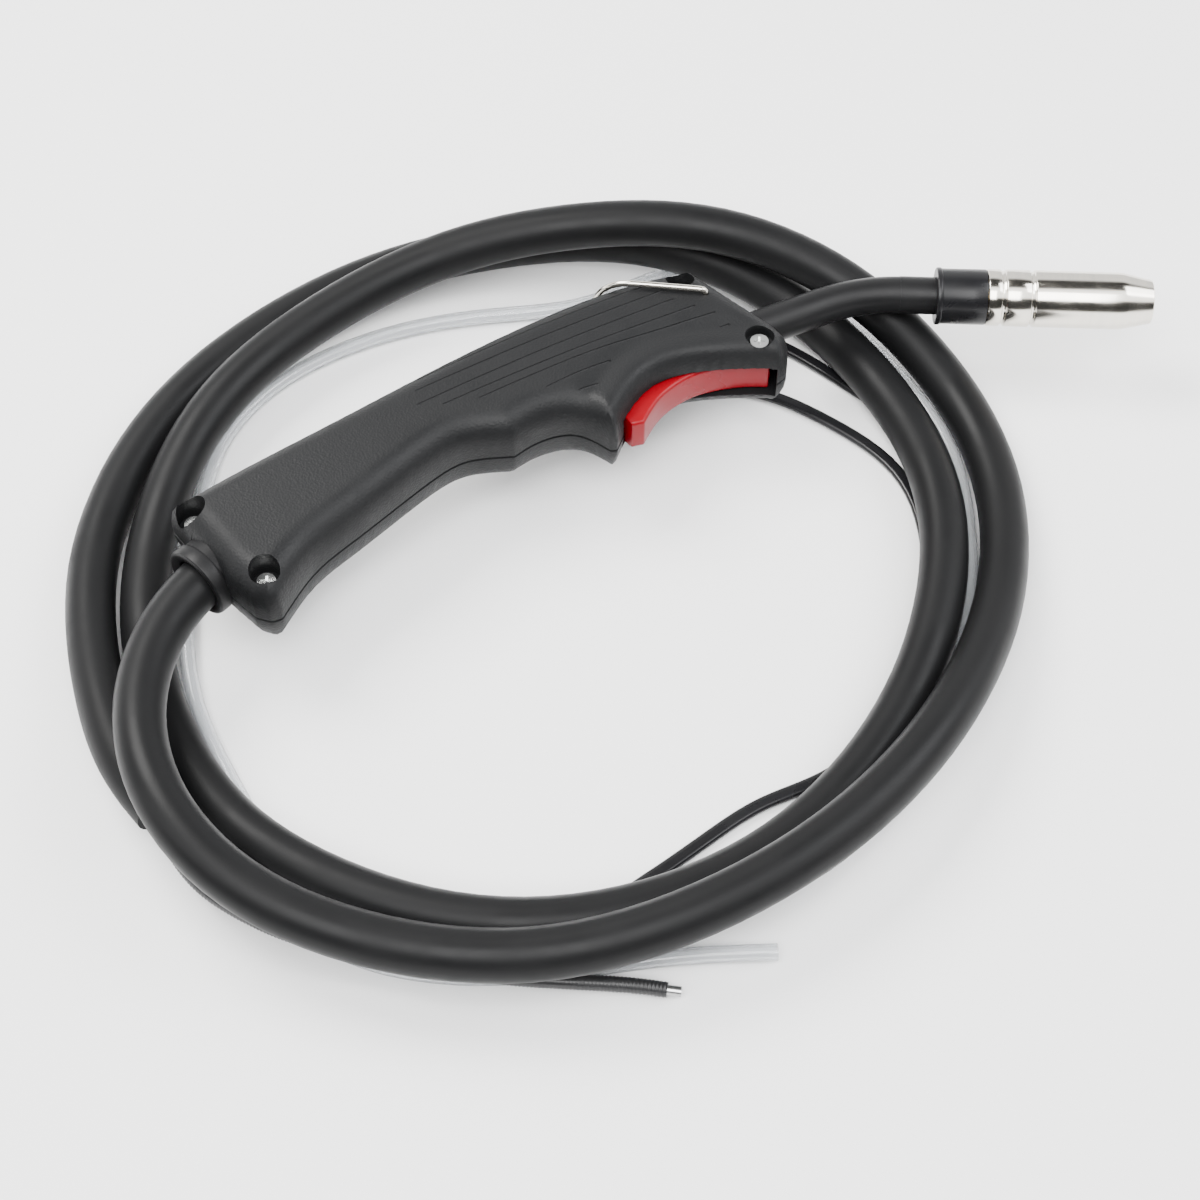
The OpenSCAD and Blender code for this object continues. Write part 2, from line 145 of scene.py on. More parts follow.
def only(obj):
    """Nothing but this object is selected, and it is active."""
    if bpy.context.object and bpy.context.object.mode != "OBJECT":
        bpy.ops.object.mode_set(mode="OBJECT")
    bpy.ops.object.select_all(action="DESELECT")
    obj.select_set(True)
    bpy.context.view_layer.objects.active = obj


def named(name):
    """The object just added, under its own name."""
    obj = bpy.context.object
    obj.name = name
    obj.data.name = name
    return obj


def from_mesh(name, verts, faces):
    mesh = bpy.data.meshes.new(name)
    mesh.from_pydata([tuple(v) for v in verts], [], faces)
    obj = bpy.data.objects.new(name, mesh)
    bpy.context.scene.collection.objects.link(obj)
    only(obj)
    return obj


def settle(obj):
    """Place goes into the mesh, doubles merge and faces point outwards."""
    only(obj)
    bpy.ops.object.transform_apply(location=True, rotation=True, scale=True)
    bpy.ops.object.mode_set(mode="EDIT")
    bpy.ops.mesh.select_all(action="SELECT")
    bpy.ops.mesh.remove_doubles(threshold=0.000002)
    bpy.ops.mesh.normals_make_consistent(inside=False)
    bpy.ops.object.mode_set(mode="OBJECT")
    return obj


def smooth(obj, degrees=35):
    only(obj)
    bpy.ops.object.shade_smooth_by_angle(angle=math.radians(degrees))
    return obj


def apply_modifiers(obj):
    only(obj)
    for modifier in list(obj.modifiers):
        bpy.ops.object.modifier_apply(modifier=modifier.name)


def bevel(obj, width, segments=3, degrees=30):
    m = obj.modifiers.new("Rounded edges", "BEVEL")
    m.width = width
    m.segments = segments
    m.limit_method = "ANGLE"
    m.angle_limit = math.radians(degrees)
    apply_modifiers(obj)


def combine(obj, others, operation):
    """Each of the others is joined to obj or cut out of it, and then thrown away."""
    for other in others:
        m = obj.modifiers.new("Combine", "BOOLEAN")
        m.operation = operation
        m.solver = "EXACT"
        m.object = other
        apply_modifiers(obj)
        bpy.data.objects.remove(other, do_unlink=True)


def prism(name, outline, low, high):
    """A closed solid from a flat outline in millimetres, by filling and extruding it."""
    bpy.ops.object.select_all(action="DESELECT")
    bpy.ops.mesh.primitive_circle_add(vertices=len(outline), radius=0.01, fill_type="NGON")
    obj = named(name)
    for v, p in zip(obj.data.vertices, outline):
        v.co = (p[0] * MM, p[1] * MM, low * MM)
    bpy.ops.object.mode_set(mode="EDIT")
    bpy.ops.mesh.select_all(action="SELECT")
    bpy.ops.mesh.extrude_region_move(TRANSFORM_OT_translate={"value": (0, 0, (high - low) * MM)})
    bpy.ops.object.mode_set(mode="OBJECT")
    return settle(obj)


def peg(name, place, radius, low, high, sides=48):
    """An upright cylinder, in millimetres."""
    bpy.ops.object.select_all(action="DESELECT")
    bpy.ops.mesh.primitive_cylinder_add(vertices=sides, radius=radius * MM, depth=(high - low) * MM,
                                        location=(place[0] * MM, place[1] * MM, (low + high) / 2 * MM))
    return settle(named(name))


def rod_between(name, start, end, radius, sides=48):
    """A cylinder from one point to another, in millimetres."""
    a, b = Vector(start) * MM, Vector(end) * MM
    bpy.ops.object.select_all(action="DESELECT")
    bpy.ops.mesh.primitive_cylinder_add(vertices=sides, radius=radius * MM, depth=(b - a).length,
                                        location=(a + b) / 2,
                                        rotation=(b - a).to_track_quat("Z", "X").to_euler())
    return settle(named(name))


def turned(name, profile, steps=64):
    """A ring-shaped piece spun about the X axis from a closed profile of (x, radius) pairs."""
    obj = from_mesh(name, [(x * MM, r * MM, 0) for x, r in profile], [])
    bm = bmesh.new()
    bm.from_mesh(obj.data)
    bm.verts.ensure_lookup_table()
    for i in range(len(profile)):
        bm.edges.new((bm.verts[i], bm.verts[(i + 1) % len(profile)]))
    bm.to_mesh(obj.data)
    bm.free()
    only(obj)
    bpy.ops.object.mode_set(mode="EDIT")
    bpy.ops.mesh.select_all(action="SELECT")
    bpy.ops.mesh.spin(steps=steps, angle=2 * math.pi, center=(0, 0, 0), axis=(1, 0, 0))
    bpy.ops.object.mode_set(mode="OBJECT")
    return settle(obj)


def swept(name, line, section, inner=None, scale_at=None):
    """A tube along a line. section is its outline as (side, up) pairs; inner makes it hollow.
    Its UV map runs round the tube in U and along it, in metres, in V."""
    rings = []
    distance = 0.0
    along = []
    for i, p in enumerate(line):
        if i:
            distance += (p - line[i - 1]).length
        along.append(distance)
        t = (line[min(i + 1, len(line) - 1)] - line[max(i - 1, 0)]).normalized()
        side = t.cross(Vector((0, 0, 1))).normalized()
        up = side.cross(t)
        k = scale_at(distance) if scale_at else 1.0
        rings.append([[p + side * a * k + up * b * k for a, b in outline]
                      for outline in ([section, inner] if inner else [section])])
    n = len(section)
    verts = [v for ring in rings for v in ring[0]]
    faces = []
    uvs = []

    def wall(offset, inward):
        for i in range(len(rings) - 1):
            for k in range(n):
                a, b = offset + i * n + k, offset + i * n + (k + 1) % n
                quad = (a, b, b + n, a + n)
                at = [(k / n, along[i]), ((k + 1) / n, along[i]),
                      ((k + 1) / n, along[i + 1]), (k / n, along[i + 1])]
                faces.append(quad[::-1] if inward else quad)
                uvs.append(at[::-1] if inward else at)

    wall(0, False)
    last = (len(rings) - 1) * n
    if inner:
        inside = len(verts)
        verts += [v for ring in rings for v in ring[1]]
        wall(inside, True)
        for k in range(n):
            m = (k + 1) % n
            faces.append((k, inside + k, inside + m, m))
            uvs.append([(k / n, 0)] * 4)
            faces.append((last + k, last + m, inside + last + m, inside + last + k))
            uvs.append([(k / n, along[-1])] * 4)
    else:
        faces.append(tuple(range(n))[::-1])
        uvs.append([(0.5, 0)] * n)
        faces.append(tuple(range(last, last + n)))
        uvs.append([(0.5, along[-1])] * n)
    obj = from_mesh(name, verts, faces)
    layer = obj.data.uv_layers.new(name="along")
    flat = [uv for face in uvs for uv in face]
    for loop, uv in zip(layer.data, flat):
        loop.uv = uv
    only(obj)
    bpy.ops.object.mode_set(mode="EDIT")
    bpy.ops.mesh.select_all(action="SELECT")
    bpy.ops.mesh.normals_make_consistent(inside=False)
    bpy.ops.object.mode_set(mode="OBJECT")
    return smooth(obj, 50)


def wire(name, line, radius, sides):
    """A round wire along any line in space, its rings turned as little as they can be."""
    verts, faces = [], []
    normal = Vector((1, 0, 0))
    for i, p in enumerate(line):
        t = (line[min(i + 1, len(line) - 1)] - line[max(i - 1, 0)]).normalized()
        normal = (normal - t * normal.dot(t)).normalized()
        other = t.cross(normal)
        for k in range(sides):
            a = 2 * math.pi * k / sides
            verts.append(p + (normal * math.cos(a) + other * math.sin(a)) * radius)
    for i in range(len(line) - 1):
        for k in range(sides):
            a, b = i * sides + k, i * sides + (k + 1) % sides
            faces.append((a, b, b + sides, a + sides))
    faces.append(tuple(range(sides))[::-1])
    faces.append(tuple(range((len(line) - 1) * sides, len(line) * sides)))
    return smooth(settle(from_mesh(name, verts, faces)), 60)


def circle_section(radius, sides):
    return [(radius * math.cos(2 * math.pi * k / sides), radius * math.sin(2 * math.pi * k / sides))
            for k in range(sides)]


# ---- shader tools ----

def socket(group, name, kind, out=False, default=None):
    s = group.interface.new_socket(name=name, in_out="OUTPUT" if out else "INPUT", socket_type=kind)
    if default is not None:
        s.default_value = default
    return s


def group_start(name):
    group = bpy.data.node_groups.new(name, "ShaderNodeTree")
    return group, group.nodes, group.links


def grain_group():
    """Fine moulded or cast grain: two sizes of bump and a patchy mask, from Object coordinates."""
    group, nodes, links = group_start("surface grain")
    socket(group, "Vector", "NodeSocketVector")
    socket(group, "Scale", "NodeSocketFloat", default=900.0)
    socket(group, "Patch Scale", "NodeSocketFloat", default=30.0)
    socket(group, "Height", "NodeSocketFloat", out=True)
    socket(group, "Patches", "NodeSocketFloat", out=True)
    gin, gout = nodes.new("NodeGroupInput"), nodes.new("NodeGroupOutput")
    fine, pits, patch = (nodes.new("ShaderNodeTexNoise"), nodes.new("ShaderNodeTexVoronoi"),
                         nodes.new("ShaderNodeTexNoise"))
    fine.inputs["Detail"].default_value = 3
    patch.inputs["Detail"].default_value = 4
    add = nodes.new("ShaderNodeMath")
    add.operation = "ADD"
    half = nodes.new("ShaderNodeMath")
    half.operation = "MULTIPLY"
    half.inputs[1].default_value = 0.5
    for tex in (fine, pits, patch):
        links.new(gin.outputs["Vector"], tex.inputs["Vector"])
    links.new(gin.outputs["Scale"], fine.inputs["Scale"])
    links.new(gin.outputs["Scale"], pits.inputs["Scale"])
    links.new(gin.outputs["Patch Scale"], patch.inputs["Scale"])
    links.new(fine.outputs[0], add.inputs[0])
    links.new(pits.outputs["Distance"], add.inputs[1])
    links.new(add.outputs[0], half.inputs[0])
    links.new(half.outputs[0], gout.inputs["Height"])
    links.new(patch.outputs[0], gout.inputs["Patches"])
    return group


def handled_group():
    """Light smears and dust from use: a mask between clean and handled, and a roughness to go with it."""
    group, nodes, links = group_start("handling marks")
    socket(group, "Vector", "NodeSocketVector")
    socket(group, "Clean", "NodeSocketFloat", default=0.4)
    socket(group, "Handled", "NodeSocketFloat", default=0.5)
    socket(group, "Roughness", "NodeSocketFloat", out=True)
    socket(group, "Mask", "NodeSocketFloat", out=True)
    gin, gout = nodes.new("NodeGroupInput"), nodes.new("NodeGroupOutput")
    broad, ramp, mix = (nodes.new("ShaderNodeTexNoise"), nodes.new("ShaderNodeMapRange"),
                        nodes.new("ShaderNodeMapRange"))
    broad.inputs["Scale"].default_value = 45
    broad.inputs["Detail"].default_value = 5
    broad.inputs["Distortion"].default_value = 0.6
    ramp.inputs["From Min"].default_value = 0.38
    ramp.inputs["From Max"].default_value = 0.66
    links.new(gin.outputs["Vector"], broad.inputs["Vector"])
    links.new(broad.outputs[0], ramp.inputs["Value"])
    links.new(ramp.outputs[0], mix.inputs["Value"])
    links.new(gin.outputs["Clean"], mix.inputs["To Min"])
    links.new(gin.outputs["Handled"], mix.inputs["To Max"])
    links.new(mix.outputs[0], gout.inputs["Roughness"])
    links.new(ramp.outputs[0], gout.inputs["Mask"])
    return group


GROUPS = {}
FINISHES = {}


def placed(nodes, name, build, **values):
    """A shared node group in a material, with this material's own values."""
    if name not in GROUPS:
        GROUPS[name] = build()
    node = nodes.new("ShaderNodeGroup")
    node.node_tree = GROUPS[name]
    for key, value in values.items():
        node.inputs[key.replace("_", " ")].default_value = value
    return node


def finish(name, colour, second=None, rough=(0.4, 0.5), metallic=0.0, grain=900.0, bump=0.1,
           depth=0.0001, patch=30.0, coat=0.0, stretch=None, transmission=0.0, ior=1.5, specular=0.5,
           rings=0.0):
    """A procedural finish: patchy colour, handled roughness and fine grain."""
    if name in FINISHES:
        return FINISHES[name]
    mat = bpy.data.materials.new(name)
    mat.use_nodes = True
    nodes, links = mat.node_tree.nodes, mat.node_tree.links
    shader = nodes["Principled BSDF"]
    shader.inputs["Metallic"].default_value = metallic
    shader.inputs["Coat Weight"].default_value = coat
    shader.inputs["Coat Roughness"].default_value = 0.08
    shader.inputs["IOR"].default_value = ior
    shader.inputs["Specular IOR Level"].default_value = specular
    shader.inputs["Transmission Weight"].default_value = transmission
    coords = nodes.new("ShaderNodeTexCoord")
    vector = coords.outputs["Object"]
    if stretch:
        mapping = nodes.new("ShaderNodeMapping")
        mapping.inputs["Scale"].default_value = stretch
        links.new(vector, mapping.inputs["Vector"])
        vector = mapping.outputs["Vector"]
    grains = placed(nodes, "surface grain", grain_group, Scale=grain, Patch_Scale=patch)
    marks = placed(nodes, "handling marks", handled_group, Clean=rough[0], Handled=rough[1])
    links.new(vector, grains.inputs["Vector"])
    links.new(coords.outputs["Object"], marks.inputs["Vector"])
    mix = nodes.new("ShaderNodeMix")
    mix.data_type = "RGBA"
    mix.inputs["A"].default_value = (*colour, 1)
    mix.inputs["B"].default_value = (*(second or [c * 0.82 for c in colour]), 1)
    links.new(grains.outputs["Patches"], mix.inputs["Factor"])
    links.new(mix.outputs["Result"], shader.inputs["Base Color"])
    links.new(marks.outputs["Roughness"], shader.inputs["Roughness"])
    relief = nodes.new("ShaderNodeBump")
    relief.inputs["Strength"].default_value = bump
    relief.inputs["Distance"].default_value = depth
    links.new(grains.outputs["Height"], relief.inputs["Height"])
    if rings:
        uv = nodes.new("ShaderNodeUVMap")
        uv.uv_map = "along"
        wave = nodes.new("ShaderNodeTexWave")
        wave.bands_direction = "Y"
        wave.inputs["Scale"].default_value = rings
        links.new(uv.outputs["UV"], wave.inputs["Vector"])
        second_relief = nodes.new("ShaderNodeBump")
        second_relief.inputs["Strength"].default_value = 0.3
        second_relief.inputs["Distance"].default_value = 0.0001
        links.new(wave.outputs["Color"], second_relief.inputs["Height"])
        links.new(second_relief.outputs["Normal"], relief.inputs["Normal"])
    links.new(relief.outputs["Normal"], shader.inputs["Normal"])
    FINISHES[name] = mat
    return mat


def wear(obj, mat):
    """The object shows this finish and no other."""
    obj.data.materials.clear()
    obj.data.materials.append(mat)
    return obj


def sizes():
    return bpy.context.scene.torch_sizes


def colours():
    return bpy.context.scene.torch_colours


def shell_finish():
    return finish("grained handle plastic", tuple(colours().shell)[:3], rough=(0.42, 0.54), grain=1300,
                  bump=0.7, depth=0.00018, patch=22, specular=0.17)


def rubber_finish():
    return finish("lead rubber", tuple(colours().rubber)[:3], rough=(0.38, 0.5), grain=1500, bump=0.12,
                  depth=0.0001, patch=16, specular=0.13)


def red_finish():
    return finish("trigger gloss red", tuple(colours().trigger)[:3], rough=(0.26, 0.36), grain=700,
                  bump=0.06, depth=0.00008, patch=40, specular=0.22)


def nickel_finish():
    return finish("bright nickel", tuple(colours().nickel)[:3], rough=(0.13, 0.22), metallic=1.0,
                  grain=500, bump=0.07, depth=0.00006, patch=60, stretch=(9, 0.6, 0.6))


def gloss_black_finish():
    return finish("gloss black plastic", (0.008, 0.008, 0.009), rough=(0.26, 0.36), grain=800, bump=0.06,
                  depth=0.00008, patch=40, specular=0.25)


def hose_finish():
    return finish("clear hose", tuple(colours().hose)[:3], second=(0.86, 0.88, 0.9), rough=(0.12, 0.22),
                  grain=600, bump=0.05, depth=0.00008, patch=25, transmission=0.75, ior=1.42)


# ---- sizes and colours a user would change ----

class TorchSizes(bpy.types.PropertyGroup):
    side_height: bpy.props.FloatProperty(name="Side wall", default=0.005, unit="LENGTH",
        description="Height of a shell's upright wall above the parting line")
    roll_width: bpy.props.FloatProperty(name="Rounded edge", default=0.009, unit="LENGTH",
        description="How far the shell's rounded edge reaches inwards")
    groove_depth: bpy.props.FloatProperty(name="Groove depth", default=0.0005, unit="LENGTH",
        description="Depth of the fine lines on the handle's side")
    jacket_diameter: bpy.props.FloatProperty(name="Lead diameter", default=0.0154, unit="LENGTH",
        description="Outside diameter of the lead's rubber jacket")
    hose_diameter: bpy.props.FloatProperty(name="Hose diameter", default=0.005, unit="LENGTH",
        description="Outside diameter of the clear gas hose")
    hook_wire: bpy.props.FloatProperty(name="Hook wire", default=0.002, unit="LENGTH",
        description="Diameter of the hanging hook's wire")


class TorchColours(bpy.types.PropertyGroup):
    shell: bpy.props.FloatVectorProperty(name="Handle", subtype="COLOR", size=4, min=0, max=1,
        default=(0.0095, 0.0098, 0.0104, 1), description="Colour of the handle's plastic")
    rubber: bpy.props.FloatVectorProperty(name="Lead", subtype="COLOR", size=4, min=0, max=1,
        default=(0.0075, 0.0076, 0.008, 1), description="Colour of the lead's rubber")
    trigger: bpy.props.FloatVectorProperty(name="Trigger", subtype="COLOR", size=4, min=0, max=1,
        default=(0.24, 0.0, 0.006, 1), description="Colour of the trigger")
    nickel: bpy.props.FloatVectorProperty(name="Nozzle", subtype="COLOR", size=4, min=0, max=1,
        default=(0.83, 0.79, 0.71, 1), description="Colour of the nozzle's plating")
    hose: bpy.props.FloatVectorProperty(name="Gas hose", subtype="COLOR", size=4, min=0, max=1,
        default=(0.93, 0.95, 0.97, 1), description="Colour of the clear gas hose")


# ---- operators ----

# Brightness of the room at angles in degrees from straight up, towards the camera's side.
ROOM_BANDS = ((-180, 0.3), (-95, 0.45), (-46, 0.5), (-37, 0.01), (-3, 0.01), (4, 1.0), (40, 1.0),
              (47, 0.012), (86, 0.015), (94, 0.3), (180, 0.3))


def studio_world():
    """A room of bright and dark bands, by angle from straight up towards the camera's side."""
    world = bpy.data.worlds.new("studio")
    world.use_nodes = True
    nodes, links = world.node_tree.nodes, world.node_tree.links
    direction, parts = nodes.new("ShaderNodeTexCoord"), nodes.new("ShaderNodeSeparateXYZ")
    flip, angle, turn = (nodes.new("ShaderNodeMath") for _ in range(3))
    flip.operation, angle.operation, turn.operation = "MULTIPLY", "ARCTAN2", "MULTIPLY_ADD"
    flip.inputs[1].default_value = -1
    turn.inputs[1].default_value = 1 / (2 * math.pi)
    turn.inputs[2].default_value = 0.5
    bands = nodes.new("ShaderNodeValToRGB")
    links.new(direction.outputs["Generated"], parts.inputs[0])
    links.new(parts.outputs["Y"], flip.inputs[0])
    links.new(flip.outputs[0], angle.inputs[0])
    links.new(parts.outputs["Z"], angle.inputs[1])
    links.new(angle.outputs[0], turn.inputs[0])
    links.new(turn.outputs[0], bands.inputs["Fac"])
    links.new(bands.outputs["Color"], nodes["Background"].inputs["Color"])
    nodes["Background"].inputs["Strength"].default_value = 3.4
    for number, (degrees, level) in enumerate(ROOM_BANDS):
        at = degrees / 360 + 0.5
        if number in (0, len(ROOM_BANDS) - 1):
            stop = bands.color_ramp.elements[-1 if number else 0]
            stop.position = at
        else:
            stop = bands.color_ramp.elements.new(at)
        stop.color = (level, level, level, 1)
    return world


class TORCH_OT_stage(bpy.types.Operator):
    """Adds the floor, the soft studio lights and the camera"""
    bl_idname = "torch.stage"
    bl_label = "Studio stage"

    def execute(self, context):
        scene = context.scene
        camera = bpy.data.cameras.new("camera")
        camera.lens = 72.9
        camera.sensor_width = 36
        camera.clip_start = 0.01
        view = bpy.data.objects.new("camera", camera)
        scene.collection.objects.link(view)
        place, target = Vector((-0.1361, -0.5471, 0.5902)), Vector((-0.1531, -0.1044, -0.0310))
        view.location = place
        view.rotation_euler = (target - place).to_track_quat("-Z", "Y").to_euler()
        scene.camera = view
        bpy.ops.object.select_all(action="DESELECT")
        bpy.ops.mesh.primitive_plane_add(size=6, location=(-0.15, -0.1, -AXIS_HEIGHT * MM - 0.00005))
        floor = named("studio_floor")
        mat = bpy.data.materials.new("pale floor")
        mat.use_nodes = True
        nodes, links = mat.node_tree.nodes, mat.node_tree.links
        shader = nodes["Principled BSDF"]
        shader.inputs["Roughness"].default_value = 0.9
        shader.inputs["Specular IOR Level"].default_value = 0.1
        shader.inputs["Base Color"].default_value = (0.93, 0.93, 0.93, 1)
        wear(floor, mat)
        settle(floor)
        for name, spot, size, power, tint in (
                ("key", (-0.85, 0.35, 1.1), 0.7, 30, (1, 0.99, 0.97)),
                ("fill", (0.8, 0.1, 1.0), 0.8, 17, (0.97, 0.98, 1)),
                ("front", (-0.2, -0.8, 1.25), 0.9, 24, (1, 1, 1))):
            light = bpy.data.lights.new(name, "AREA")
            light.size = size
            light.energy = power
            light.color = tint
            lamp = bpy.data.objects.new(name, light)
            scene.collection.objects.link(lamp)
            lamp.location = spot
            aim = Vector((-0.16, -0.1, 0)) - Vector(spot)
            lamp.rotation_euler = aim.to_track_quat("-Z", "Y").to_euler()
        scene.world = studio_world()
        return {"FINISHED"}


class TORCH_OT_lead(bpy.types.Operator):
    """Lays the rubber lead and the hose, cord and liner that run on past its end"""
    bl_idname = "torch.lead"
    bl_label = "Lead and tails"

    def execute(self, context):
        line = on_floor(JACKET_ROUTE, 7)
        radius = sizes().jacket_diameter / 2
        jacket = swept("lead_jacket", line, circle_section(radius, 24))
        wear(jacket, rubber_finish())
        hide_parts("cable_jacket")
        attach(jacket, "torch")

        hose_line = on_floor(HOSE_ROUTE, 6)
        outer = sizes().hose_diameter / 2
        hose = swept("clear_gas_hose", hose_line, circle_section(outer, 16), circle_section(outer * 0.6, 16))
        wear(hose, hose_finish())
        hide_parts("gas_hose")
        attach(hose, "torch")

        cord_line = on_floor(LEAD_ROUTE, 6)
        core = 1.15 * MM
        twin = [(s * (1.05 * MM + core * math.cos(a)), s * core * math.sin(a))
                for s in (1, -1) for a in [math.radians(d) for d in (-105, -75, -45, -15, 15, 45, 75, 105)]]
        cord = swept("two_core_cord", cord_line, twin)
        wear(cord, finish("gloss cord", (0.008, 0.008, 0.009), rough=(0.22, 0.32), grain=900, bump=0.08,
                          patch=30, specular=0.35))
        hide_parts("trigger_lead")
        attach(cord, "torch")

        liner_line = on_floor(LINER_ROUTE, 44)
        pitch = 0.0011

        def ribs(distance):
            return 1.0 - 0.09 * (0.5 + 0.5 * math.cos(2 * math.pi * distance / pitch))

        liner = swept("ribbed_wire_liner", liner_line, circle_section(2.35 * MM, 16), scale_at=ribs)
        wear(liner, finish("ribbed liner black", (0.016, 0.016, 0.017), rough=(0.34, 0.46), grain=900,
                           bump=0.1, patch=30))
        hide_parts("wire_liner")
        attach(liner, "torch")

        return {"FINISHED"}


OUTLINE_BACK = [(-284, -105), (-262, -87), (-238, -69), (-203, -42), (-172, -21), (-150, -9), (-128, -1)]
OUTLINE_ARCH = [(-102, -39.6), (-112, -40.1), (-121, -41.3), (-129, -43), (-136, -46.2), (-141, -51),
                (-145, -57.5), (-147.5, -64), (-149, -69)]
OUTLINE_FRONT_FINGER = [(-151, -69.5), (-158, -65), (-165, -63.5), (-174, -67), (-181, -73)]
OUTLINE_REAR_FINGER = [(-182, -73), (-192, -74.5), (-200, -78), (-211, -89), (-226, -106), (-237, -118),
                       (-243, -130), (-246, -137)]
CAVITY = [(-264, -104), (-244, -84), (-205, -53), (-172, -32), (-146, -19), (-118, -15), (-108, -22),
          (-113, -32), (-132, -37), (-152, -46), (-166, -54), (-188, -62), (-205, -72), (-226, -92),
          (-242, -110), (-252, -117)]
SLOT = [(-99.3, -27.2), (-99.3, -50), (-145, -67), (-148.9, -60.5), (-151.8, -55), (-150, -49.5),
        (-144, -44), (-136, -39.5), (-128, -35.5), (-118, -30), (-110, -27.2)]
OUTLINE_NOSE = [(-100, -24), (-96, -29), (-96.2, -36.8), (-99, -40.4)]
OUTLINE_HEEL = [(-249, -138.5), (-254, -137), (-263, -129)]
GROOVES = [((-119.5, -23.5), (-157, -40.5), (-192, -62)), ((-126, -21), (-165, -41.5), (-203, -65)),
           ((-133, -18.5), (-173, -41), (-211, -65.5)), ((-136, -14.7), (-175, -36.5), (-212, -60)),
           ((-140, -11.5), (-178, -33), (-212, -54)), ((-152, -44.4), (-162, -50.3), (-171.5, -56.7)),
           ((-155.4, -54), (-158.5, -55.5), (-161.5, -57.2)), ((-115, -27.8), (-116.5, -28.6), (-118, -29.3))]
HALF_THICKNESS = 15.0     # one shell's height over the parting plane
FAR_SIDE_LESS = 3.0       # the far shell's wall is lower than the near one's
FAR_ROLL_MORE = 2.0       # and its rounded edge reaches further in
ARCH_REACH = 14.0         # the rounded edge narrows this close to the trigger's arch
GRID = 1.3                # spacing of the crowned face's grid
RIM_STEPS = ((1.0, 0.0), (0.5, 0.0), (0.4, 0.45), (0.0, 0.2))   # height of each ring, and how far it turns in


def flat_line(points, steps):
    """A smooth line through flat points."""
    return [p.to_2d() for p in smooth_line([(*q, 0) for q in points], steps)]


ARCH_LINE = flat_line(OUTLINE_ARCH, 5)


def handle_outline():
    """The handle's outline in the parting plane, once round."""
    rough = (flat_line(OUTLINE_BACK, 5) + [Vector(p) for p in OUTLINE_NOSE] + ARCH_LINE
             + flat_line(OUTLINE_FRONT_FINGER, 6) + flat_line(OUTLINE_REAR_FINGER, 5)
             + [Vector(p) for p in OUTLINE_HEEL])
    return filleted(rough, 3.0)


def distance_to(p, line, closed=True):
    """How far a flat point is from a line, in millimetres."""
    best = 1e9
    n = len(line)
    for i in range(n if closed else n - 1):
        a, b = line[i], line[(i + 1) % n]
        ab = b - a
        t = max(0.0, min(1.0, (p - a).dot(ab) / max(ab.length_squared, 1e-12)))
        best = min(best, (a + ab * t - p).length_squared)
    return math.sqrt(best)


def inside_outline(p, outline):
    """Whether a flat point is inside a closed outline."""
    inside = False
    for i, a in enumerate(outline):
        b = outline[i - 1]
        if (a.y > p.y) != (b.y > p.y) and p.x < (b.x - a.x) * (p.y - a.y) / (b.y - a.y) + a.x:
            inside = not inside
    return inside


def crown_height(p, d, far):
    """Height of a shell's outside at a flat point that lies d inside the outline, in millimetres."""
    side, roll = sizes().side_height / MM, sizes().roll_width / MM
    if far:
        side, roll = side - FAR_SIDE_LESS, roll + FAR_ROLL_MORE
    to_arch = distance_to(p, ARCH_LINE, closed=False)
    near_arch = 0.0 if far else max(0.0, 1.0 - to_arch / ARCH_REACH)
    near_arch = near_arch * near_arch * (3 - 2 * near_arch)
    width = roll * (1 - 0.5 * near_arch)
    t = 1 - min(1.0, d / width)
    valley = 0.8 * math.exp(-((to_arch - 12.0) / 3.5) ** 2)
    crown = (HALF_THICKNESS - side) * math.sqrt(max(0.0, 1 - t * t))
    return side + crown - valley * min(1.0, d / width)


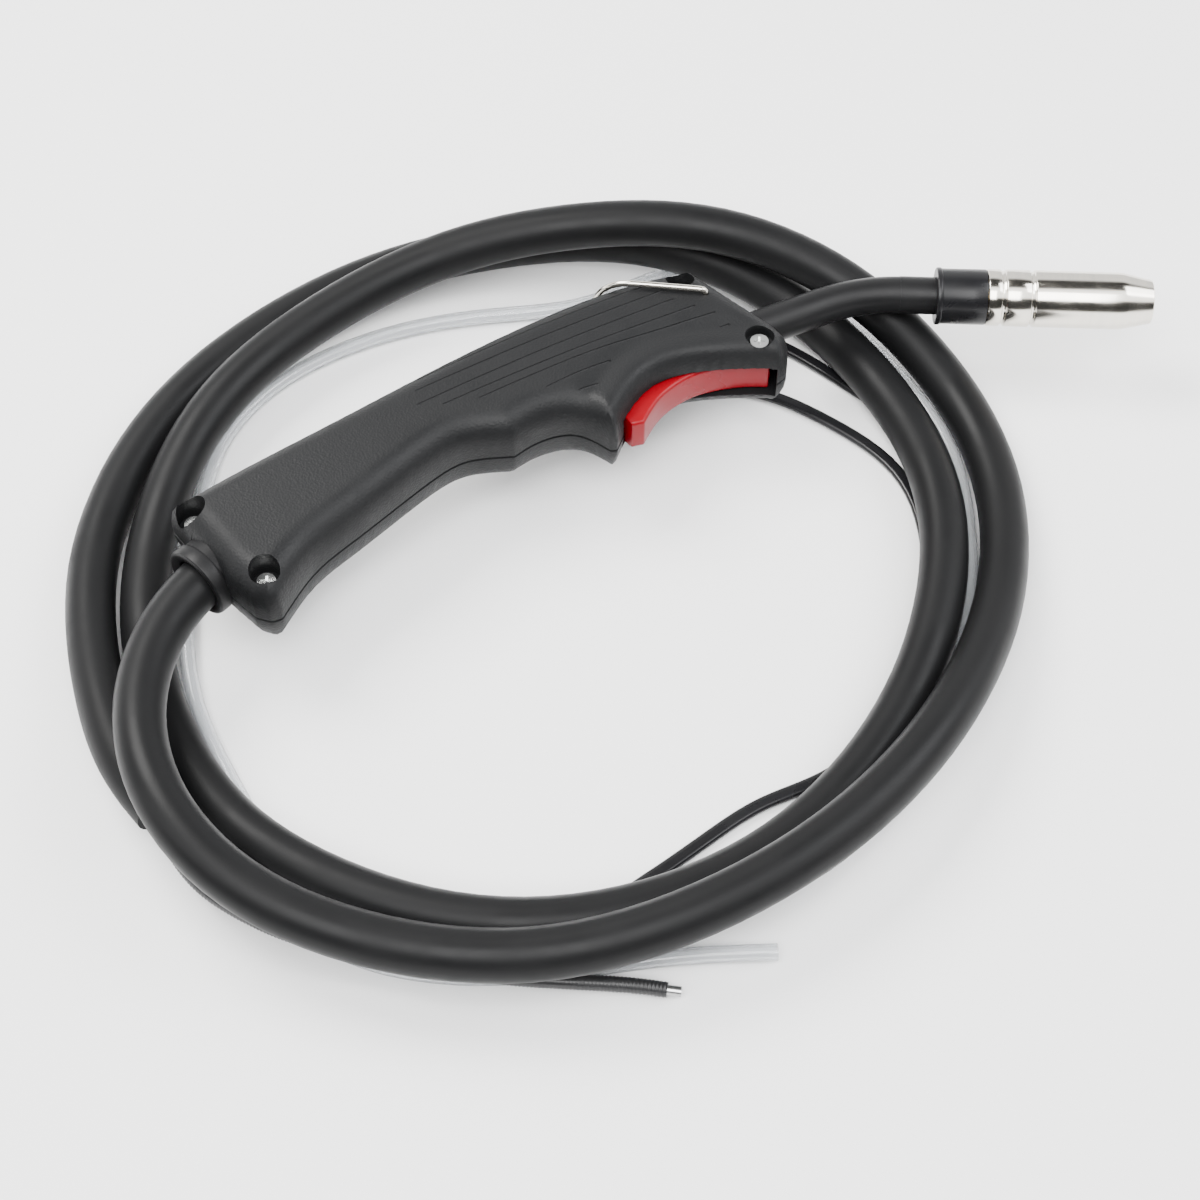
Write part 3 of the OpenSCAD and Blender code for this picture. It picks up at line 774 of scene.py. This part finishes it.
def shell_form(name, outline, far):
    """Half of the handle: a flat face sliced into a fine grid, crowned towards its rounded edge, with
    its rim drawn down to the parting plane and turned in a little there, so that the joint shows."""
    bpy.ops.object.select_all(action="DESELECT")
    bpy.ops.mesh.primitive_circle_add(vertices=len(outline), radius=0.01, fill_type="NGON")
    obj = named(name)
    for v, p in zip(obj.data.vertices, outline):
        v.co = (p.x * MM, p.y * MM, 0)
    along, across = behind_bend(1, 0) - behind_bend(0, 0), behind_bend(0, 1) - behind_bend(0, 0)
    us = [along.to_2d().dot(p) for p in outline]
    vs = [across.to_2d().dot(p) for p in outline]
    bpy.ops.object.mode_set(mode="EDIT")
    for normal, low, high in ((along, min(us), max(us)), (across, min(vs), max(vs))):
        for k in range(1, int((high - low) / GRID) + 1):
            at = low + k * GRID
            if at < high - 0.1:
                bpy.ops.mesh.select_all(action="SELECT")
                bpy.ops.mesh.bisect(plane_co=normal * at * MM, plane_no=normal)
    bpy.ops.object.mode_set(mode="OBJECT")
    bm = bmesh.new()
    bm.from_mesh(obj.data)
    bmesh.ops.remove_doubles(bm, verts=bm.verts, dist=0.00004)
    rim = {v for e in bm.edges if e.is_boundary for v in e.verts}
    for v in bm.verts:
        p = v.co.to_2d() / MM
        v.co.z = crown_height(p, 0.0 if v in rim else distance_to(p, outline), far) * MM
    loop = {}
    for v in rim:
        ends = [e.other_vert(v).co.to_2d() for e in v.link_edges if e.is_boundary]
        side = (ends[1] - ends[0]).orthogonal().normalized()
        probe = (v.co.to_2d() + side * 0.0004) / MM
        loop[v] = side if inside_outline(probe, outline) else -side
    for height, draw in RIM_STEPS:
        skirt = bmesh.ops.extrude_edge_only(bm, edges=[e for e in bm.edges if e.is_boundary])
        fresh = {}
        for v in (g for g in skirt["geom"] if isinstance(g, bmesh.types.BMVert)):
            above = next(e.other_vert(v) for e in v.link_edges if e.other_vert(v) in loop)
            fresh[v] = loop[above]
            step = loop[above] * draw * MM
            v.co = (above.co.x + step.x, above.co.y + step.y, height * MM)
        loop = fresh
    bmesh.ops.contextual_create(bm, geom=[e for e in bm.edges if e.is_boundary])
    bm.to_mesh(obj.data)
    bm.free()
    return settle(obj)


def groove_cutters(side, outline):
    """Slim bars along each fine line, sunk a little below the handle's side."""
    depth = sizes().groove_depth / MM
    section = [(-0.42, 1.5), (-0.36, -1.4), (0, -1.6), (0.36, -1.4), (0.42, 1.5)]
    bars = []
    for number, line in enumerate(GROOVES):
        path = []
        for flat in flat_line(line, 6):
            top = crown_height(flat, distance_to(flat, outline), side < 0)
            path.append(Vector((*flat, side * (top - depth + 1.6))) * MM)
        bars.append(swept(f"groove_{number}", path, [(a * MM, side * b * MM) for a, b in section[::side]]))
    return bars


class TORCH_OT_handle(bpy.types.Operator):
    """Models the two handle shells, crowned, grooved and hollow"""
    bl_idname = "torch.handle"
    bl_label = "Handle shells"

    def execute(self, context):
        outline = handle_outline()
        near = shell_form("handle_near_shell", outline, False)
        far = shell_form("handle_far_shell", outline, True)
        only(far)
        far.scale = (1, 1, -1)
        settle(far)
        rear, out = Vector(REAR_MOUTH), Vector((math.cos(REAR_ANGLE), math.sin(REAR_ANGLE), 0))
        for shell, side in ((near, 1), (far, -1)):
            cutters = [prism("cavity", CAVITY, *sorted((-0.6 * side, 12.2 * side))),
                       prism("trigger_slot", SLOT, *sorted((-0.7 * side, (TRIGGER_HALF + 0.7) * side))),
                       rod_between("neck_bore", behind_bend(-40, 0), behind_bend(3, 0), 6.15),
                       rod_between("collar_bore", rear - out * 26, rear + out * 3, 11.05),
                       rod_between("collar_seat", rear - out * 3.1, rear + out * 9, 11.7, 56),
                       peg("hook_hole", HOOK_PIVOT, 1.15, *sorted((9.0 * side, 18.0 * side)), 24)]
            if side > 0:
                cutters += [peg("screw_recess", spot, RECESS_RADIUS, seat, 20.0) for spot, seat in SCREWS]
            cutters += groove_cutters(side, outline)
            combine(shell, cutters, "DIFFERENCE")
            settle(shell)
            smooth(shell, 32)
            wear(shell, shell_finish())
        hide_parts("near_shell")
        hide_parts("far_shell")
        for shell in (near, far):
            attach(shell, "torch")
        return {"FINISHED"}


TRIGGER_FINGER = [(-101.8, -36.8), (-108, -37), (-114, -37.9), (-122.4, -40.4), (-128.8, -44.2),
                  (-135, -50.2), (-138.6, -56.6), (-140.8, -62)]
TRIGGER_TIP = [(-144.6, -63.2), (-147.4, -60)]
TRIGGER_BACK = [(-147.8, -58.5), (-146.2, -54.5), (-142, -49.5), (-135, -44.5), (-127, -39.3),
                (-120, -36.3), (-113, -34), (-101.8, -33.4)]


class TORCH_OT_trigger(bpy.types.Operator):
    """Models the curved red trigger with its finger pad and pivot eye"""
    bl_idname = "torch.trigger"
    bl_label = "Trigger"

    def execute(self, context):
        finger = flat_line(TRIGGER_FINGER, 4)
        tip = [Vector(p) for p in TRIGGER_TIP]
        half = TRIGGER_HALF
        trigger = prism("trigger_pad", finger + tip + flat_line(TRIGGER_BACK, 4), -half, half)
        only(trigger)
        bpy.ops.object.mode_set(mode="EDIT")
        bpy.ops.mesh.select_mode(type="EDGE")
        bpy.ops.mesh.select_all(action="DESELECT")
        bpy.ops.object.mode_set(mode="OBJECT")
        pad = finger + tip[:1]
        on_pad = [any((v.co.to_2d() / MM - q).length < 0.05 for q in pad) for v in trigger.data.vertices]
        for edge in trigger.data.edges:
            a, b = edge.vertices
            level = abs(trigger.data.vertices[a].co.z - trigger.data.vertices[b].co.z) < 1e-5
            edge.select = level and on_pad[a] and on_pad[b]
        bpy.ops.object.mode_set(mode="EDIT")
        bpy.ops.mesh.bevel(offset=0.0012, segments=4, affect="EDGES")
        bpy.ops.object.mode_set(mode="OBJECT")
        bevel(trigger, 0.0004, 3, 50)
        eye = peg("eye", PIVOT, 4.2, -4, 4)
        web = prism("web", [(-102.2, -32), (-102.2, -35.8), (-114, -36.5), (-111, -31)], -4, 4)
        combine(trigger, [eye, web], "UNION")
        combine(trigger, [peg("eye_hole", PIVOT, 2.45, -10, 10)], "DIFFERENCE")
        settle(trigger)
        smooth(trigger, 40)
        wear(trigger, red_finish())
        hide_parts("trigger")
        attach(trigger, "trigger")
        return {"FINISHED"}


class TORCH_OT_hook(bpy.types.Operator):
    """Bends the wire hanging hook round the handle's back edge"""
    bl_idname = "torch.hook"
    bl_label = "Hanging hook"

    def execute(self, context):
        z = HOOK_SIDE
        half = [(-122.8, -15.35, 11.5), (-122.8, -15.3, 14.6), (-123.6, -15.2, 16.2), (-127, -15, z),
                (-137, -14.3, z), (-146, -13.7, z), (-151.4, -13, 15.2), (-155.6, -11.7, 11),
                (-158.2, -10.3, 5)]
        route = half + [(-158.7, -10, 0)] + [(x, y, -h) for x, y, h in half[::-1]]
        line = [p * MM for p in smooth_line(route, 5)]
        hook = wire("hanging_hook_wire", line, sizes().hook_wire / 2, 14)
        wear(hook, nickel_finish())
        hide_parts("hanging_hook")
        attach(hook, "hook")
        return {"FINISHED"}


class TORCH_OT_front(bpy.types.Operator):
    """Turns the nozzle and the insulating collar"""
    bl_idname = "torch.front"
    bl_label = "Nozzle and collar"

    def execute(self, context):
        r = NOZZLE_RADIUS

        def groove(at):
            return [(at - 1.0, r), (at - 0.8, r - 0.1), (at - 0.5, r - 0.5), (at, r - 0.7),
                    (at + 0.5, r - 0.5), (at + 0.8, r - 0.1), (at + 1.0, r)]

        outer = ([(-30.7, 8.95), (-30.55, 9.15), (-30.3, r)] + groove(-25.6) + groove(-16.1)
                 + [(11.9, r), (12.9, 9.22), (13.9, 9.12), (14.9, 8.9), (22.3, 7.3),
                                       (22.8, 7.12), (23, 6.85)])
        inner = [(23, 6.15), (22.7, 5.95), (12.5, 5.95), (11.5, 6.3), (10.5, 7.75), (-30.7, 7.75)]
        nozzle = turned("nozzle_shell", outer + inner, 96)
        smooth(nozzle, 30)
        wear(nozzle, nickel_finish())
        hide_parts("nozzle")
        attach(nozzle, "nozzle")

        collar = turned("insulating_collar_shell", [
            (-47.3, 9.0), (-47.15, 9.25), (-46.9, 9.35), (-46, 9.35), (-45.75, 9.25), (-45.6, 9.05),
            (-45.2, 9.0), (-36, 9.05), (-31.3, 9.05), (-31, 8.95), (-30.9, 8.7), (-30.9, 6.85),
            (-32, 6.85), (-32, 4.12), (-47.3, 4.12)], 96)
        smooth(collar, 30)
        wear(collar, gloss_black_finish())
        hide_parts("insulating_collar")
        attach(collar, "torch")
        return {"FINISHED"}


class TORCH_OT_rear_collar(bpy.types.Operator):
    """Turns the lipped collar where the lead leaves the handle"""
    bl_idname = "torch.rear_collar"
    bl_label = "Rear collar"

    def execute(self, context):
        collar = turned("rear_lead_collar", [
            (-8, 10.6), (-7.6, 11), (-3, 11), (-3, 11.3), (-2.7, 11.5), (-2.2, 11.6), (0.6, 11.6),
            (1.3, 11.4), (1.7, 10.9), (1.8, 10.2), (1.5, 9), (1.1, 8.2), (0.9, 7.85), (-8, 7.85)], 72)
        turn = Matrix.Translation(Vector(REAR_MOUTH) * MM) @ Matrix.Rotation(REAR_ANGLE, 4, "Z")
        collar.data.transform(turn)
        settle(collar)
        smooth(collar, 32)
        wear(collar, finish("collar rubber", (0.0085, 0.0085, 0.009), rough=(0.4, 0.5), grain=1100,
                            bump=0.15, patch=30, specular=0.17))
        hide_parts("cable_collar")
        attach(collar, "torch")
        return {"FINISHED"}


class TORCH_OT_finishes(bpy.types.Operator):
    """Gives each remaining part its own surface finish"""
    bl_idname = "torch.finishes"
    bl_label = "Finishes"

    def execute(self, context):
        brass = finish("machined brass", (0.66, 0.46, 0.19), rough=(0.24, 0.36), metallic=1.0, grain=700,
                       bump=0.08, patch=50)
        copper = finish("copper", (0.75, 0.36, 0.2), rough=(0.26, 0.4), metallic=1.0, grain=700, bump=0.08,
                        patch=60)
        steel = finish("spring steel", (0.55, 0.55, 0.55), rough=(0.25, 0.35), metallic=1.0, grain=900,
                       bump=0.06, patch=60)
        zinc = finish("bright zinc", (0.74, 0.75, 0.74), rough=(0.2, 0.32), metallic=1.0, grain=800,
                      bump=0.1, patch=90)
        dark = finish("dark steel", (0.16, 0.16, 0.17), rough=(0.32, 0.45), metallic=1.0, grain=800,
                      bump=0.08, patch=60)
        black = finish("switch black", (0.02, 0.02, 0.021), rough=(0.36, 0.46), grain=900, bump=0.1,
                       patch=40)
        button = finish("button plastic", (0.62, 0.55, 0.38), rough=(0.34, 0.44), grain=700, bump=0.08,
                        patch=40)
        sleeve = finish("neck sleeve rubber", (0.0075, 0.0075, 0.008), rough=(0.34, 0.46), grain=1300,
                        bump=0.14, patch=18, specular=0.2)
        wanted = {"shell_screws": zinc, "trigger_spring": steel, "switch_body": black,
                  "switch_plunger": button, "switch_terminals": brass, "switch_wires": black,
                  "neck_tube": brass, "neck_sleeve": sleeve, "neck_block": brass, "block_screws": dark,
                  "neck_liner": steel, "tip_holder": brass, "contact_tip": copper,
                  "nozzle_spring": steel, "cable_clamp": zinc, "power_conductor": copper,
                  "inner_gas_hose": hose_finish(), "liner_core": steel}
        for node, mat in wanted.items():
            wear(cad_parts[node], mat)
        return {"FINISHED"}


class TORCH_PT_panel(bpy.types.Panel):
    """Sidebar panel with the torch's sizes, colours and building steps"""
    bl_label = "MIG Welding Torch"
    bl_idname = "TORCH_PT_panel"
    bl_space_type = "VIEW_3D"
    bl_region_type = "UI"
    bl_category = "Torch"

    def draw(self, context):
        layout = self.layout
        for settings in (context.scene.torch_sizes, context.scene.torch_colours):
            box = layout.box()
            for name in settings.__annotations__:
                box.prop(settings, name)
        for step in STEPS:
            layout.operator(step.bl_idname)


STEPS = (TORCH_OT_stage, TORCH_OT_lead, TORCH_OT_handle, TORCH_OT_trigger, TORCH_OT_hook, TORCH_OT_front,
         TORCH_OT_rear_collar, TORCH_OT_finishes)
CLASSES = (TorchSizes, TorchColours, *STEPS, TORCH_PT_panel)


def register():
    for cls in CLASSES:
        bpy.utils.register_class(cls)
    bpy.types.Scene.torch_sizes = bpy.props.PointerProperty(type=TorchSizes)
    bpy.types.Scene.torch_colours = bpy.props.PointerProperty(type=TorchColours)


def unregister():
    del bpy.types.Scene.torch_colours
    del bpy.types.Scene.torch_sizes
    for cls in reversed(CLASSES):
        bpy.utils.unregister_class(cls)


def main():
    register()
    bpy.ops.object.select_all(action="DESELECT")
    bpy.ops.torch.stage()
    bpy.ops.torch.lead()
    bpy.ops.torch.handle()
    bpy.ops.torch.trigger()
    bpy.ops.torch.hook()
    bpy.ops.torch.front()
    bpy.ops.torch.rear_collar()
    bpy.ops.torch.finishes()


if __name__ == "__main__":
    main()
